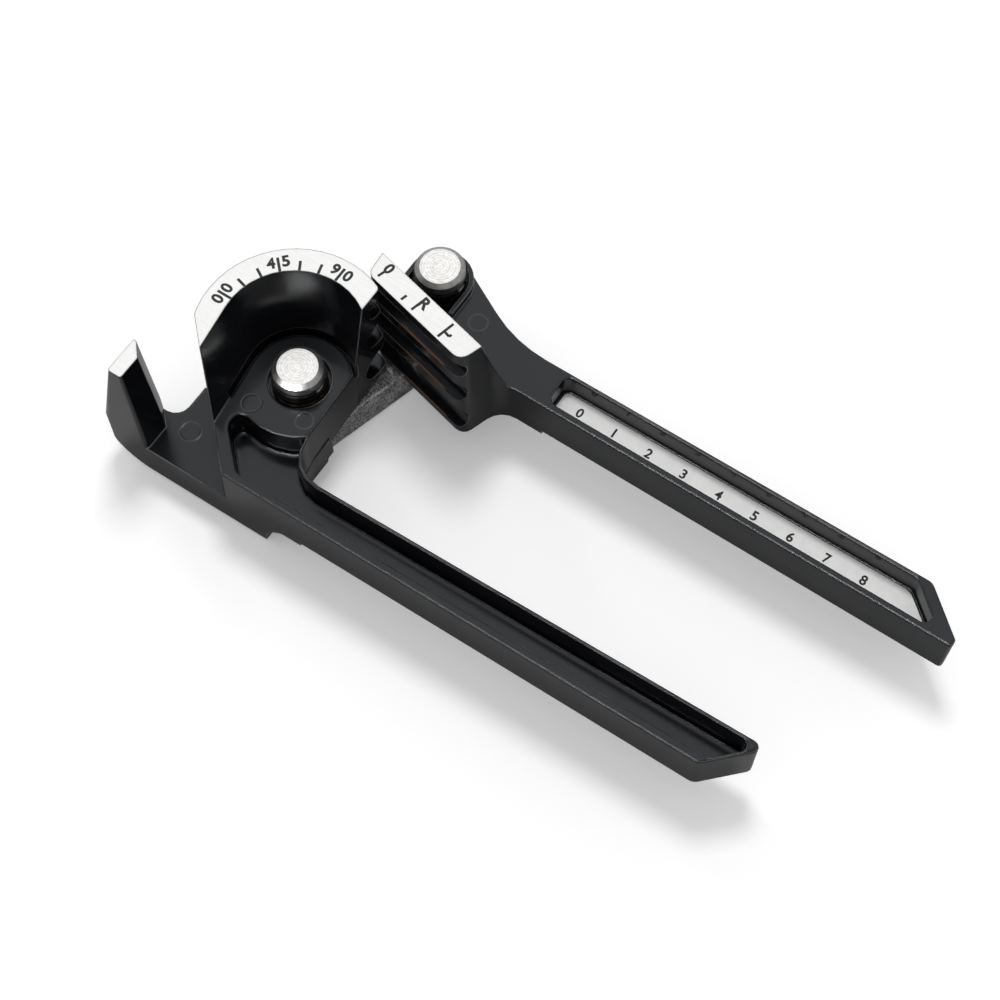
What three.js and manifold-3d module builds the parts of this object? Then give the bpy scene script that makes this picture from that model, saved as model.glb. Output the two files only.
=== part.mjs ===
// Hand tube bender: two cast levers joined by a link bar, each lever turning on its own pin.
// Millimetres, +Z up. The forming lever's pivot stands on the Z axis, both levers run along +X,
// and z = 0 is the underside of the link bar.
import * as THREE from 'three';
import { mergeVertices } from 'three/addons/utils/BufferGeometryUtils.js';
import Module from 'manifold-3d';

const wasm = await Module();
wasm.setup();

// Link bar and pins
const linkThickness = 10.1;
const linkHalfWidth = 7.9;
const linkEdgeRound = 0.7;
const pinDirection = THREE.MathUtils.degToRad(73.6);
const pinRadius = 6.35;
const pinChamfer = 0.9;
const pinFaceRadius = 5.07;
const pinTop = 22.2;
const spigotRadius = 5;
const runningGap = 0.3;
const boreGap = 0.3;

// Retaining rings and washers, levels above the castings' underside
const ringTop = 18.7;
const ringThickness = 1.2;
const ringPlay = 0.2;
const ringOuterRadius = 6.9;
const ringGrooveDepth = 0.9;
const ringOpening = THREE.MathUtils.degToRad(28);
const springThickness = 1.4;
const springRise = 0.6;
const springOpening = THREE.MathUtils.degToRad(8);
const washerOuterRadius = 6.95;
const washerThickness = 1.5;

// Tubes that the bender takes, from the top groove down
const tubeDiameters = [6.35, 7.94, 9.53];
const grooveLands = [3.5, 3.5, 4];
const shoeClearance = 0.4;
const shoeGrooveDepth = 2.2;

// Forming head, levels above the castings' underside
const headHeight = 37.4;
const plateHeight = 15.7;
const flangeRadius = 23.8;
const bowlRimRadius = 17.6;
const plateRadius = 13.2;
const plateStepIn = 0.2;
const moatWidth = 1.1;
const moatDepth = 3.4;
const bowlLean = THREE.MathUtils.degToRad(8);
const headRightEnd = 10;
const headRightChamfer = 1.4;
const flankDirection = THREE.MathUtils.degToRad(225);
const flankBaseInset = 1;
const flankDraft = 1.2;
const counterboreRadius = 7.9;
const stackSeat = 13;

// Forming lever, plan sizes
const flankHeight = 7.4;
const formingLeverWidth = 10.3;
const formingNearTaper = 1;
const neckRight = 11.2;
const neckFillet = 9.5;
const formingFarTaper = 2.5;
const formingReach = 143.2;
const formingCorner = 1.6;
const formingNearCorner = 3;
const formingRimFar = 1.25;
const formingRimNear = 2.4;
const formingRimEnd = 3.1;
const channelDepth = 8.7;
const channelPlateRim = 2.8;
const channelSideInset = 24.62;
const channelFillet = 3;
const channelSideFillet = 2.4;
const channelFloorFillet = 1.4;
const channelNoseRound = 1.7;
const leverRelief = 1.8;
const rimRound = 0.8;
const undersideRound = 0.5;

// Web, foot and hook of the forming casting
const webHeight = 2.3;
const footDrop = 9.3;
const footRiseRadius = 11.3;
const footRiseCentre = 21;
const footEndClearance = 11;
const webFarEdge = -9.4;
const neckFarEdge = -4;
const mouthSetBack = 1.9;
const mouthWidth = 11.4;
const mouthFillet = 4;
const heelOverhang = 12.1;
const heelHeight = 8.1;
const heelRadius = 12;
const heelWidth = 10.8;
const hookInnerDraft = 0.6;
const hookThickness = 3.9;
const hookNearWidth = 6.2;
const hookFarWidth = 9.8;
const hookTipDraft = 1.2;
const hookEdgeRound = 0.7;
const hookHeelRound = 2;
const footWall = 3;
const footRoof = 3;
const footPocketFillet = 2;

// Shoe lever; the shoe's own frame is turned so that u runs along its face and v away from the pivot
const shoeTurn = THREE.MathUtils.degToRad(-14);
const shoeLeft = -0.6;
const shoeLength = 32.7;
const shoeLeftRound = 2.5;
const shoeRightRound = 3;
const shoeTopDepth = 6.4;
const shoeFootDepth = 12.3;
const pinBehindShoe = 7.95;
const shoeEndLean = 1.1;
const armHeight = 14.75;
const armFillet = 6;
const lugRadius = 8.35;
const collarHeight = 16.7;
const collarWall = 1.15;
const collarPocketReach = 7.2;
const shoeLeverSetBack = 3;
const shoeLeverWidth = 11.55;
const shoeLeverTaper = 1.3;
const shoeLeverReach = 165.4;
const shoeLeverNose = 2.3;
const shoeLeverSlant = 11.2;
const shoeLeverStep = 53;
const shoulderX = 37.4;
const shoulderRadius = 38;
const noseRound = 1.1;
const slantRound = 3;
const shoeRimFar = 1.3;
const shoeRimNear = 2;
const shoeRimEnd = 3.4;
const shoeChannelStart = 53.4;
const shoeChannelDepth = 6.8;
const shoeChannelFillet = 2;
const shoeChannelFloorFillet = 0.5;

// Facets and cutter overrun
const overrun = 2;
const turnSegments = 72;
const cornerSteps = 4;
const roundSteps = 2;
const grooveSteps = 10;
const quarterTurn = Math.PI / 2;
const sharedSideShare = 0.49;
const freeSideShare = 0.95;
const toeShare = 0.8;
const flankFollowShare = 1.4;

const castingBase = linkThickness + runningGap;
const shoeFace = flangeRadius + shoeClearance;
const tubeReach = flangeRadius + shoeGrooveDepth;
const pinSpacing = shoeFace + shoeFootDepth + pinBehindShoe;
const shoePin = new THREE.Vector2(Math.cos(pinDirection), Math.sin(pinDirection)).multiplyScalar(pinSpacing);
const flankBaseReach = flangeRadius - flankBaseInset;
const flankTopReach = flankBaseReach - flankDraft;
const formingNearSide = -flangeRadius - flankHeight;
const formingFarStart = formingNearSide + formingLeverWidth;
const channelArcRadius = plateRadius + channelPlateRim;
const channelLeft = channelSideInset - flankBaseReach * flankFollowShare;
const mouthBottom = formingNearSide + mouthWidth;
const heelFarSide = formingNearSide + heelWidth;
const hookTipNear = formingNearSide + hookNearWidth;
const hookTipFar = formingNearSide + hookFarWidth;
const hookInner = -tubeReach;
const hookOuter = hookInner - hookThickness;
const heelReach = hookInner - heelOverhang;
const mouthRight = hookInner + mouthSetBack;
const shoeLeverNearStart = shoeFace + shoeLeverSetBack;
const shoeLeverFarStart = shoeLeverNearStart + shoeLeverWidth;
const collarPocketEnd = shoePin.y - collarPocketReach;

// Heights of the groove axes above the castings' underside
const grooveLevels = tubeDiameters.map((diameter, i) => {
  const above = grooveLands.slice(0, i + 1).reduce((sum, land) => sum + land, 0);
  const tubes = tubeDiameters.slice(0, i).reduce((sum, tube) => sum + tube, 0);
  return headHeight - above - tubes - diameter / 2;
});

// A closed outline from corners [x, y, radius], anticlockwise; a radius is limited by its sides
function roundedOutline(corners, steps = cornerSteps) {
  const outline = [];
  corners.forEach(([x, y, radius = 0], i) => {
    const here = new THREE.Vector2(x, y);
    if (!radius) {
      outline.push(here);
      return;
    }
    const [beforeX, beforeY, beforeRadius] = corners[(i + corners.length - 1) % corners.length];
    const [afterX, afterY, afterRadius] = corners[(i + 1) % corners.length];
    const toBefore = new THREE.Vector2(beforeX, beforeY).sub(here);
    const toAfter = new THREE.Vector2(afterX, afterY).sub(here);
    const room = Math.min(
      toBefore.length() * (beforeRadius ? sharedSideShare : freeSideShare),
      toAfter.length() * (afterRadius ? sharedSideShare : freeSideShare),
    );
    toBefore.normalize();
    toAfter.normalize();
    const halfAngle = Math.acos(toBefore.dot(toAfter)) / 2;
    const reach = Math.min(radius / Math.tan(halfAngle), room);
    const fitted = reach * Math.tan(halfAngle);
    const bisector = toBefore.clone().add(toAfter).normalize();
    const centre = here.clone().addScaledVector(bisector, fitted / Math.sin(halfAngle));
    const start = here.clone().addScaledVector(toBefore, reach).sub(centre);
    const turn = Math.sign(start.cross(here.clone().addScaledVector(toAfter, reach).sub(centre)));
    const sweep = turn * (Math.PI - 2 * halfAngle);
    for (let k = 0; k <= steps; k += 1) {
      const swept = start.clone().rotateAround(new THREE.Vector2(), (sweep * k) / steps);
      outline.push(swept.add(centre));
    }
  });
  return outline;
}

// Points on an arc about a centre
function arcPoints(centre, radius, from, to, steps) {
  return Array.from({ length: steps + 1 }, (_, k) => {
    const angle = from + ((to - from) * k) / steps;
    return [centre.x + radius * Math.cos(angle), centre.y + radius * Math.sin(angle)];
  });
}

// The same outline moved inwards by a distance, or outwards where it is negative
function insetOutline(outline, distance) {
  if (distance === 0) {
    return outline;
  }
  return outline.map((here, i) => {
    const before = outline[(i + outline.length - 1) % outline.length];
    const after = outline[(i + 1) % outline.length];
    const first = here.clone().sub(before).normalize();
    const second = after.clone().sub(here).normalize();
    const normal = new THREE.Vector2(-first.y - second.y, first.x + second.x);
    return here.clone().addScaledVector(normal, distance / (1 + first.dot(second)));
  });
}

// A closed body through rings of equally many points; flat ends, the first one facing down
function loft(rings) {
  const count = rings[0].length;
  const positions = rings.flatMap((ring) => ring.flatMap((point) => [point.x, point.y, point.z]));
  const faces = [];
  for (let level = 0; level < rings.length - 1; level += 1) {
    for (let i = 0; i < count; i += 1) {
      const low = level * count + i;
      const lowNext = level * count + ((i + 1) % count);
      faces.push(low, lowNext, lowNext + count, low, lowNext + count, low + count);
    }
  }
  const last = (rings.length - 1) * count;
  const flat = (ring) => ring.map((point) => new THREE.Vector2(point.x, point.y));
  for (const [a, b, c] of THREE.ShapeUtils.triangulateShape(flat(rings[0]), [])) {
    faces.push(c, b, a);
  }
  for (const [a, b, c] of THREE.ShapeUtils.triangulateShape(flat(rings[rings.length - 1]), [])) {
    faces.push(last + a, last + b, last + c);
  }
  const geometry = new THREE.BufferGeometry();
  geometry.setAttribute('position', new THREE.Float32BufferAttribute(positions, 3));
  geometry.setIndex(faces);
  return geometry;
}

// A body of one outline at levels [height, inset]
function stack(outline, levels) {
  const rings = levels.map(([height, inset]) =>
    insetOutline(outline, inset).map((point) => new THREE.Vector3(point.x, point.y, height)));
  return solidOf(loft(rings));
}

// Levels of a plate whose lower and upper edges are rounded
function plateLevels(bottom, top, lowerRound, upperRound) {
  const levels = [];
  for (let k = 0; k <= roundSteps; k += 1) {
    const angle = (quarterTurn * k) / roundSteps;
    levels.push([bottom + lowerRound * (1 - Math.cos(angle)), lowerRound * (1 - Math.sin(angle))]);
  }
  for (let k = 0; k <= roundSteps; k += 1) {
    const angle = (quarterTurn * k) / roundSteps;
    levels.push([top - upperRound * (1 - Math.sin(angle)), upperRound * (1 - Math.cos(angle))]);
  }
  return levels;
}

// Levels of a pocket cutter: a fillet round its floor and a rounded rim
function pocketLevels(floor, rim, floorFillet, rimRadius) {
  const levels = plateLevels(floor, rim, floorFillet, rimRadius);
  const upper = levels.slice(roundSteps + 1).map(([height, inset]) => [height, -inset]);
  return [...levels.slice(0, roundSteps + 1), ...upper, [rim + overrun, -rimRadius]];
}

function solidOf(geometry) {
  const bare = geometry.clone();
  bare.deleteAttribute('normal');
  bare.deleteAttribute('uv');
  const welded = mergeVertices(bare);
  return new wasm.Manifold(new wasm.Mesh({
    numProp: 3,
    vertProperties: new Float32Array(welded.getAttribute('position').array),
    triVerts: new Uint32Array(welded.getIndex().array),
  }));
}

function geometryOf(solid) {
  const mesh = solid.getMesh();
  const geometry = new THREE.BufferGeometry();
  geometry.setAttribute('position', new THREE.BufferAttribute(new Float32Array(mesh.vertProperties), 3));
  geometry.setIndex(new THREE.BufferAttribute(new Uint32Array(mesh.triVerts), 1));
  geometry.computeVertexNormals();
  return geometry;
}

function cylinder(radius, bottom, top, centre = new THREE.Vector2()) {
  const geometry = new THREE.CylinderGeometry(radius, radius, top - bottom, turnSegments);
  geometry.rotateX(quarterTurn);
  geometry.translate(centre.x, centre.y, (bottom + top) / 2);
  return solidOf(geometry);
}

// A box between two opposite corners
function block(low, high) {
  const geometry = new THREE.BoxGeometry(high.x - low.x, high.y - low.y, high.z - low.z);
  geometry.translate((low.x + high.x) / 2, (low.y + high.y) / 2, (low.z + high.z) / 2);
  return solidOf(geometry);
}

// A body of revolution from a profile of [radius, height]
function turned(profile, segments = turnSegments) {
  const points = profile.map(([radius, height]) => new THREE.Vector2(radius, height));
  const geometry = new THREE.LatheGeometry(points, segments);
  geometry.rotateX(quarterTurn);
  return geometry;
}

// Everything beyond a leaning upright plane, as a cutter
function beyondPlane(direction, baseReach, topReach, bottom, top) {
  const far = shoeLeverReach * 2;
  const across = new THREE.Vector2(-Math.sin(direction), Math.cos(direction));
  const outward = new THREE.Vector2(Math.cos(direction), Math.sin(direction));
  const corner = (reach, side, height) => {
    const point = outward.clone().multiplyScalar(reach).addScaledVector(across, side);
    return new THREE.Vector3(point.x, point.y, height);
  };
  const ring = (reach, height) => [
    corner(reach, -far, height),
    corner(far, -far, height),
    corner(far, far, height),
    corner(reach, far, height),
  ];
  return solidOf(loft([ring(baseReach, bottom), ring(topReach, top)]));
}

// A straight line through two points, read at x
function lineAt(from, to, x) {
  return from[1] + ((to[1] - from[1]) * (x - from[0])) / (to[0] - from[0]);
}

// Forming lever plan lines
const formingNearLine = (x) =>
  lineAt([0, formingNearSide], [formingReach, formingNearSide + formingNearTaper], x);
const formingFarLine = (x) =>
  lineAt([neckRight, formingFarStart], [formingReach, formingFarStart + formingFarTaper], x);
const flankReachAt = (level) =>
  flankBaseReach + ((flankTopReach - flankBaseReach) * (level - webHeight)) / (headHeight - webHeight);

// Where two lines through points p, q and r, s cross
function crossing(p, q, r, s) {
  const first = new THREE.Vector2().subVectors(q, p);
  const second = new THREE.Vector2().subVectors(s, r);
  const share = new THREE.Vector2().subVectors(r, p).cross(second) / first.cross(second);
  return first.multiplyScalar(share).add(p);
}

// Points at the two ends of the flank plane, seen from above
function flankLine(reach) {
  const outward = new THREE.Vector2(Math.cos(flankDirection), Math.sin(flankDirection));
  const across = new THREE.Vector2(-outward.y, outward.x);
  const foot = outward.multiplyScalar(reach);
  return [foot, foot.clone().add(across)];
}

// Left side of the bowl or of the plate: tangent to its arc, leaning towards the lever
function leaningLine(radius) {
  const angle = Math.PI + bowlLean;
  const touch = new THREE.Vector2(Math.cos(angle), Math.sin(angle));
  const along = new THREE.Vector2(-touch.y, touch.x);
  return [touch.multiplyScalar(radius), touch.clone().add(along)];
}

const point = (x, y) => new THREE.Vector2(x, y);
const pivot = point(0, 0);

// Outline of the pivot plate and of the lever that grows from it
function formingLeverOutline(flankReach) {
  const tip = point(formingReach, formingFarLine(formingReach));
  const nearEnd = tip.x - (tip.y - formingNearLine(tip.x));
  const near = [point(0, formingNearLine(0)), point(formingReach, formingNearLine(formingReach))];
  const plateStart = Math.acos((headRightEnd + plateStepIn) / plateRadius);
  const flankNear = crossing(...flankLine(flankReach), ...near);
  const flankTop = crossing(...flankLine(flankReach), ...leaningLine(plateRadius));
  return roundedOutline([
    [flankNear.x, flankNear.y, formingCorner],
    [nearEnd, formingNearLine(nearEnd), formingNearCorner],
    [tip.x, tip.y, formingCorner],
    [neckRight, formingFarStart, neckFillet],
    ...arcPoints(pivot, plateRadius, plateStart, Math.PI + bowlLean, grooveSteps),
    [flankTop.x, flankTop.y],
  ]);
}

// Outline of the grooved rim, taken past the flank plane that trims it
function rimOutline() {
  const rightAngle = Math.acos(headRightEnd / flangeRadius);
  const leftAngle = flankDirection - Math.acos(flankBaseReach / flangeRadius) + bowlLean;
  const [flankFoot, flankNext] = flankLine(flankBaseReach + overrun / 2);
  const toe = flankFoot.clone().lerp(flankNext, plateRadius * toeShare);
  return roundedOutline([
    [headRightEnd, -plateRadius],
    [headRightEnd, flangeRadius * Math.sin(rightAngle), headRightChamfer],
    ...arcPoints(pivot, flangeRadius, rightAngle + bowlLean, leftAngle, grooveSteps * 2),
    [toe.x, toe.y],
    [toe.x / 2, -plateRadius],
  ]);
}

// Outline of the bowl at one level, open towards the lever
function bowlOutline(radius) {
  const [touch, next] = leaningLine(radius);
  const low = crossing(touch, next, point(0, -flangeRadius - overrun), point(1, -flangeRadius - overrun));
  return roundedOutline([
    [low.x, low.y],
    [radius, low.y],
    ...arcPoints(pivot, radius, 0, Math.PI + bowlLean, grooveSteps * 2),
  ]);
}

// One groove of the forming head: round past the pivot, then straight down to the flank
function formerGroove(diameter, level) {
  const axis = tubeReach - diameter / 2;
  const outside = flangeRadius + overrun;
  const section = [];
  for (let k = 0; k <= grooveSteps; k += 1) {
    const angle = quarterTurn + (Math.PI * k) / grooveSteps;
    section.push([axis + (diameter / 2) * Math.cos(angle), level + (diameter / 2) * Math.sin(angle)]);
  }
  section.push([outside, level - diameter / 2], [outside, level + diameter / 2]);
  const upper = block(new THREE.Vector3(-outside * 2, -overrun / 2, 0),
    new THREE.Vector3(outside * 2, outside * 2, headHeight));
  const ring = (y) => section.map(([reach, height]) => new THREE.Vector3(reach, height, y));
  const straight = loft([ring(-outside), ring(0)])
    .applyMatrix4(new THREE.Matrix4().makeBasis(
      new THREE.Vector3(-1, 0, 0), new THREE.Vector3(0, 0, 1), new THREE.Vector3(0, 1, 0)));
  return solidOf(turned([...section, section[0]])).intersect(upper).add(solidOf(straight));
}

// A profile in x and z, drawn through the casting from its near side to a far one
function sideProfile(corners, near, far) {
  const shape = new THREE.Shape(corners);
  const geometry = new THREE.ExtrudeGeometry(shape, { depth: far - near, bevelEnabled: false });
  geometry.rotateX(quarterTurn);
  geometry.translate(0, far, 0);
  return solidOf(geometry);
}

// Side view of the foot: a round heel under the hook and a hollow rise under the lever
function footProfile() {
  const heel = point(heelReach + heelRadius, heelRadius - footDrop);
  const rise = point(footRiseCentre, leverRelief - footRiseRadius);
  const riseStart = Math.acos((-footDrop - rise.y) / footRiseRadius) + quarterTurn;
  return [
    ...arcPoints(heel, heelRadius, Math.PI, Math.PI + quarterTurn, grooveSteps),
    ...arcPoints(rise, footRiseRadius, riseStart, quarterTurn, grooveSteps),
    [footRiseCentre, headHeight + overrun],
    [heelReach, headHeight + overrun],
  ].map(([x, z]) => point(x, z));
}

// Outline of the web and foot, clear of the link bar's swing on its far side
function footOutline() {
  const startAngle = Math.asin(neckFarEdge / footEndClearance);
  const endAngle = Math.asin(webFarEdge / footEndClearance);
  return roundedOutline([
    [heelReach, formingNearLine(heelReach), hookHeelRound],
    [footRiseCentre, formingNearLine(footRiseCentre)],
    [footRiseCentre, formingFarStart],
    [neckRight, formingFarStart, neckFillet],
    [neckRight, neckFarEdge],
    ...arcPoints(pivot, footEndClearance, startAngle, -Math.PI - endAngle, grooveSteps),
    [mouthRight, webFarEdge],
    [mouthRight, mouthBottom, mouthFillet],
    [heelReach, heelFarSide, hookHeelRound],
  ]);
}

// The hook: a post that narrows from its heel to its machined top
function hook() {
  const ring = (corners, height) =>
    roundedOutline(corners).map((corner) => new THREE.Vector3(corner.x, corner.y, height));
  const baseInner = hookInner + hookInnerDraft;
  const base = [
    [heelReach, formingNearLine(heelReach), hookHeelRound],
    [baseInner, formingNearLine(baseInner), hookHeelRound / 2],
    [baseInner, hookTipNear + hookTipDraft, hookEdgeRound],
    [baseInner + hookOuter - hookInner, mouthBottom, hookEdgeRound],
    [heelReach, heelFarSide, hookHeelRound],
  ];
  const top = [
    [hookOuter, formingNearLine(hookOuter), hookEdgeRound],
    [hookInner, formingNearLine(hookInner), hookEdgeRound],
    [hookInner, hookTipNear, hookEdgeRound],
    [hookOuter + hookEdgeRound, hookTipFar, hookEdgeRound],
    [hookOuter, hookTipFar, hookEdgeRound / 2],
  ];
  return solidOf(loft([ring(base, -footDrop - overrun), ring(base, heelHeight), ring(top, headHeight)]));
}

function formingChannelOutline() {
  const tipFar = point(formingReach, formingFarLine(formingReach) - formingRimFar);
  const slant = (formingRimEnd - formingRimFar) * Math.SQRT2;
  const far = point(tipFar.x - slant, tipFar.y);
  const nearY = formingNearLine(formingReach) + formingRimNear;
  const startY = formingNearLine(0) + formingRimNear;
  const innerNeck = formingFarStart - formingRimFar;
  const rightX = neckRight - formingRimFar / 2;
  const fromAngle = -Math.acos(rightX / channelArcRadius);
  const arcEnd = Math.asin((channelLeft + channelFillet) / channelArcRadius);
  const toAngle = -quarterTurn + arcEnd;
  const [flankFoot, flankNext] = flankLine(flankReachAt(plateHeight) - formingRimNear * Math.SQRT2);
  const flankNear = crossing(flankFoot, flankNext, point(0, startY), point(1, startY));
  const flankLeft = crossing(flankFoot, flankNext, point(channelLeft, 0), point(channelLeft, 1));
  return roundedOutline([
    [flankNear.x, startY, channelFillet],
    [far.x - (far.y - nearY), nearY, channelFillet],
    [far.x, far.y, formingCorner],
    [rightX, innerNeck, neckFillet],
    ...arcPoints(pivot, channelArcRadius, fromAngle, toAngle, cornerSteps),
    [channelLeft, channelArcRadius * Math.sin(toAngle), channelSideFillet],
    [channelLeft, flankLeft.y, channelFillet],
  ]);
}

function formingHandle() {
  const rim = stack(rimOutline(), [[0, 0], [headHeight, 0]]);
  const bowlRings = [[plateHeight, plateRadius], [headHeight, bowlRimRadius]].map(([height, radius]) =>
    bowlOutline(radius).map((corner) => new THREE.Vector3(corner.x, corner.y, height)));
  const slope = (bowlRimRadius - plateRadius) / (headHeight - plateHeight);
  bowlRings.push(bowlOutline(bowlRimRadius + slope * overrun).map((corner) =>
    new THREE.Vector3(corner.x, corner.y, headHeight + overrun)));
  const bowl = solidOf(loft(bowlRings));
  const moatLevels = [[plateHeight - moatDepth, 0], [plateHeight + overrun, 0]];
  const moat = stack(bowlOutline(plateRadius + moatWidth), moatLevels)
    .intersect(block(new THREE.Vector3(-flangeRadius, -plateRadius, 0),
      new THREE.Vector3(flangeRadius, flangeRadius, headHeight)));
  let head = rim.subtract(bowl).subtract(moat);
  tubeDiameters.forEach((diameter, i) => {
    head = head.subtract(formerGroove(diameter, grooveLevels[i]));
  });
  const lever = stack(formingLeverOutline(flankBaseReach + overrun / 2),
    plateLevels(0, plateHeight, undersideRound, rimRound));
  const relief = block(new THREE.Vector3(footRiseCentre, formingNearSide - overrun, -overrun),
    new THREE.Vector3(formingReach + overrun, overrun, leverRelief));
  const flankLean = (flankBaseReach - flankTopReach) / (headHeight - webHeight);
  const trimBase = flankBaseReach + flankLean * overrun;
  const trimTop = flankTopReach - flankLean * overrun;
  const trim = beyondPlane(flankDirection, trimBase, trimTop, webHeight - overrun, headHeight + overrun);
  const under = beyondPlane(flankDirection, flankBaseReach, flankBaseReach, -overrun, webHeight);
  const profile = sideProfile(footProfile(), formingNearSide - overrun, overrun);
  const foot = stack(footOutline(), [[-footDrop - overrun, 0], [webHeight, 0]]).add(hook()).intersect(profile);
  const pocketLeft = mouthRight + footWall;
  const pocketRight = footRiseCentre - footRiseRadius - footWall;
  const pocket = stack(roundedOutline([
    [pocketLeft, formingNearSide + footWall, footPocketFillet],
    [pocketRight, formingNearSide + footWall, footPocketFillet],
    [pocketRight, -footEndClearance - footWall, footPocketFillet],
    [pocketLeft, -footEndClearance - footWall, footPocketFillet],
  ]), [[-footDrop - overrun, 0], [webHeight - footRoof, 0]]);
  const channel = stack(formingChannelOutline(),
    pocketLevels(plateHeight - channelDepth, plateHeight, channelFloorFillet, rimRound));
  return head.add(lever)
    .subtract(relief)
    .subtract(trim)
    .subtract(under)
    .add(foot.subtract(pocket))
    .subtract(channel)
    .subtract(cylinder(counterboreRadius, stackSeat, plateHeight + overrun))
    .subtract(cylinder(pinRadius + boreGap, -overrun, plateHeight));
}

// A point of the shoe's own frame, seen in the tool's frame
const shoePoint = (u, v) => point(u, v).rotateAround(pivot, shoeTurn);

function shoeLeverOutline() {
  const nearEnd = shoeLeverNearStart - shoeLeverTaper;
  const nearLine = [point(shoulderX, shoeLeverNearStart), point(shoeLeverReach, nearEnd)];
  const farEnd = shoeLeverFarStart - shoeLeverTaper / 2;
  const farLine = [point(shoulderX, shoeLeverFarStart), point(shoeLeverReach, farEnd)];
  const shoeRight = shoeLeft + shoeLength;
  const frontRight = shoePoint(shoeRight, shoeFace);
  const endWall = [frontRight, shoePoint(shoeRight + shoeEndLean, shoeFace + shoeFootDepth)];
  const armpit = crossing(...endWall, ...nearLine);
  const frontLeft = shoePoint(shoeLeft, shoeFace);
  const slantX = shoeLeverReach - shoeLeverSlant;
  const slantY = lineAt(farLine[0].toArray(), farLine[1].toArray(), slantX);
  const toShoulder = farLine[0].clone().sub(shoePin);
  const lugStart = toShoulder.angle() + Math.acos(lugRadius / toShoulder.length()) - 2 * Math.PI;
  return roundedOutline([
    [frontLeft.x, frontLeft.y, shoeLeftRound],
    [frontRight.x, frontRight.y, shoeRightRound],
    [armpit.x, armpit.y, armFillet],
    [nearLine[1].x, nearLine[1].y, noseRound],
    [shoeLeverReach, nearLine[1].y + shoeLeverNose, noseRound],
    [slantX, slantY, slantRound],
    [shoulderX, shoeLeverFarStart, shoulderRadius],
    ...arcPoints(shoePin, lugRadius, lugStart, Math.PI, grooveSteps),
  ]);
}

function shoeChannelOutline() {
  const nearY = shoeLeverNearStart + shoeRimNear;
  const farY = shoeLeverFarStart - shoeRimFar;
  const nearEnd = nearY - shoeLeverTaper;
  const farEnd = farY - shoeLeverTaper / 2;
  const slantX = shoeLeverReach - shoeLeverSlant;
  const slope = (farEnd - nearEnd + shoeRimFar + shoeRimNear - shoeLeverNose) / shoeLeverSlant;
  const nearCorner = shoeLeverReach - shoeRimEnd * Math.SQRT2 - (shoeRimNear - shoeLeverNose) / slope;
  return roundedOutline([
    [shoeChannelStart, nearY, shoeChannelFillet],
    [nearCorner, nearEnd, channelNoseRound],
    [nearCorner - (farEnd - nearEnd) / slope, farEnd, slantRound],
    [shoeChannelStart, farY, shoeChannelFillet],
  ]);
}

// One groove of the shoe: a shallow round channel that runs out through both of its ends
function shoeGroove(diameter, level) {
  const start = shoeLeft - shoeLeftRound - shoeFootDepth / 2;
  const end = shoeLeft + shoeLength + shoeEndLean + shoeRightRound;
  const half = diameter / 2;
  const bend = (half * half + shoeGrooveDepth * shoeGrooveDepth) / (2 * shoeGrooveDepth);
  const spread = Math.asin(half / bend);
  const section = [[-overrun, half], [-overrun, -half]];
  for (let k = 0; k <= grooveSteps; k += 1) {
    const angle = -spread + (2 * spread * k) / grooveSteps;
    section.push([bend * Math.cos(angle) - bend + shoeGrooveDepth, bend * Math.sin(angle)]);
  }
  const ring = (u) => section.map(([depth, height]) => new THREE.Vector3(shoeFace + depth, level + height, u));
  const along = shoePoint(1, 0);
  const away = shoePoint(0, 1);
  const turn = new THREE.Matrix4().makeBasis(
    new THREE.Vector3(away.x, away.y, 0), new THREE.Vector3(0, 0, 1), new THREE.Vector3(along.x, along.y, 0));
  return solidOf(loft([ring(start), ring(end)]).applyMatrix4(turn));
}

// A plate round the shoe pin that runs straight down to the back of the shoe
function collarOutline(halfWidth, end) {
  return roundedOutline([
    [shoePin.x - halfWidth, end],
    [shoePin.x + halfWidth, end],
    ...arcPoints(shoePin, halfWidth, 0, Math.PI, grooveSteps * 2),
  ]);
}

function shoeHandle() {
  const outline = shoeLeverOutline();
  const back = shoeTurn + quarterTurn;
  const slope = (shoeFootDepth - shoeTopDepth) / (headHeight - armHeight);
  const wallBase = armHeight - rimRound - overrun;
  const baseReach = shoeFace + shoeFootDepth + slope * (rimRound + overrun);
  const wall = stack(outline, [[wallBase, 0], [headHeight, 0]])
    .subtract(beyondPlane(back, baseReach, shoeFace + shoeTopDepth, wallBase, headHeight));
  const arm = stack(outline, plateLevels(0, armHeight, undersideRound, rimRound));
  const relief = block(new THREE.Vector3(shoeLeverStep, 0, -overrun),
    new THREE.Vector3(shoeLeverReach + overrun, pinSpacing, leverRelief));
  const channel = stack(shoeChannelOutline(),
    pocketLevels(armHeight - shoeChannelDepth, armHeight, shoeChannelFloorFillet, rimRound));
  const collar = stack(collarOutline(lugRadius, collarPocketEnd), [[armHeight / 2, 0], [collarHeight, 0]]);
  const pocket = stack(collarOutline(lugRadius - collarWall, collarPocketEnd),
    [[stackSeat, 0], [collarHeight + overrun, 0]]);
  let casting = arm.add(collar).subtract(pocket).add(wall).subtract(relief).subtract(channel);
  tubeDiameters.forEach((diameter, i) => {
    casting = casting.subtract(shoeGroove(diameter, grooveLevels[i]));
  });
  return casting.subtract(cylinder(pinRadius + boreGap, -overrun, armHeight, shoePin));
}

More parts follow.
